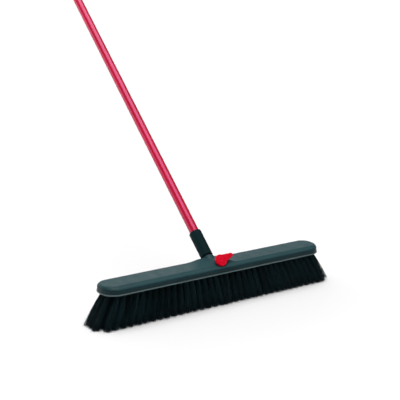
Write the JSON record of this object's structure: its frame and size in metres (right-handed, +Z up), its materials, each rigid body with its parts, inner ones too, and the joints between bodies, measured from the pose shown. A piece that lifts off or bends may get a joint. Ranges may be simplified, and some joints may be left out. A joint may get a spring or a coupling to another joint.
{
  "type": "push broom",
  "caption": "Push broom: long moulded head with fanned stiff bristles, an angled steel handle in a socket, and a teardrop lever that clamps the handle's socket.",
  "frame": {"origin": "on the floor, below the middle of the head", "axes": "+X along the head, +Y towards the side that the handle leans to, +Z up"},
  "size_m": [0.6706, 1.2463, 1.1368],
  "materials": {
    "head_plastic": "fine matt moulded texture, dark blue-grey",
    "bristle": "crimped stiff synthetic bristle, near black",
    "handle_paint": "glossy red powder coat",
    "lever_plastic": "glossy red moulding",
    "zinc_steel": "zinc plated",
    "brass": "turned",
    "jaw_plastic": "natural acetal"
  },
  "bodies": {
    "head": {"head_cover": "head_plastic", "tuft_plate": "head_plastic", "plate_screws": "zinc_steel", "screw_bush": "brass", "tuft_anchors_left": "zinc_steel", "tuft_anchors_right": "zinc_steel", "tufts_front_row_left": "bristle", "tufts_front_row_right": "bristle", "tufts_front_inner_row_left": "bristle", "tufts_front_inner_row_right": "bristle", "tufts_middle_row_left": "bristle", "tufts_middle_row_right": "bristle", "tufts_rear_inner_row_left": "bristle", "tufts_rear_inner_row_right": "bristle", "tufts_rear_row_left": "bristle", "tufts_rear_row_right": "bristle", "tufts_centre_column": "bristle"},
    "jaw": {"clamp_jaw": "jaw_plastic"},
    "lever": {"clamp_lever": "lever_plastic", "lever_cap": "lever_plastic", "clamp_screw": "zinc_steel"},
    "handle": {"handle_tube": "handle_paint", "handle_socket": "head_plastic", "socket_rivet": "zinc_steel", "handle_cap": "head_plastic"}
  },
  "joints": [
    {"name": "jaw_slide", "type": "slide", "parent": "head", "child": "jaw", "axis": [0, -0.7431, 0.6691], "range_m": [0, 0.0025]},
    {"name": "lever_turn", "type": "hinge", "parent": "jaw", "child": "lever", "pos_m": [0.004, -0.026, 0.1066], "axis": [0, -0.7431, 0.6691], "range_deg": [0, 150]},
    {"name": "handle_pull", "type": "slide", "parent": "head", "child": "handle", "axis": [0, 0.749, 0.6626], "range_m": [0, 0.06]}
  ],
  "couplings": [
    {"joint": "lever_turn", "follows": "jaw_slide", "rad_per_m": 1047.2}
  ]
}
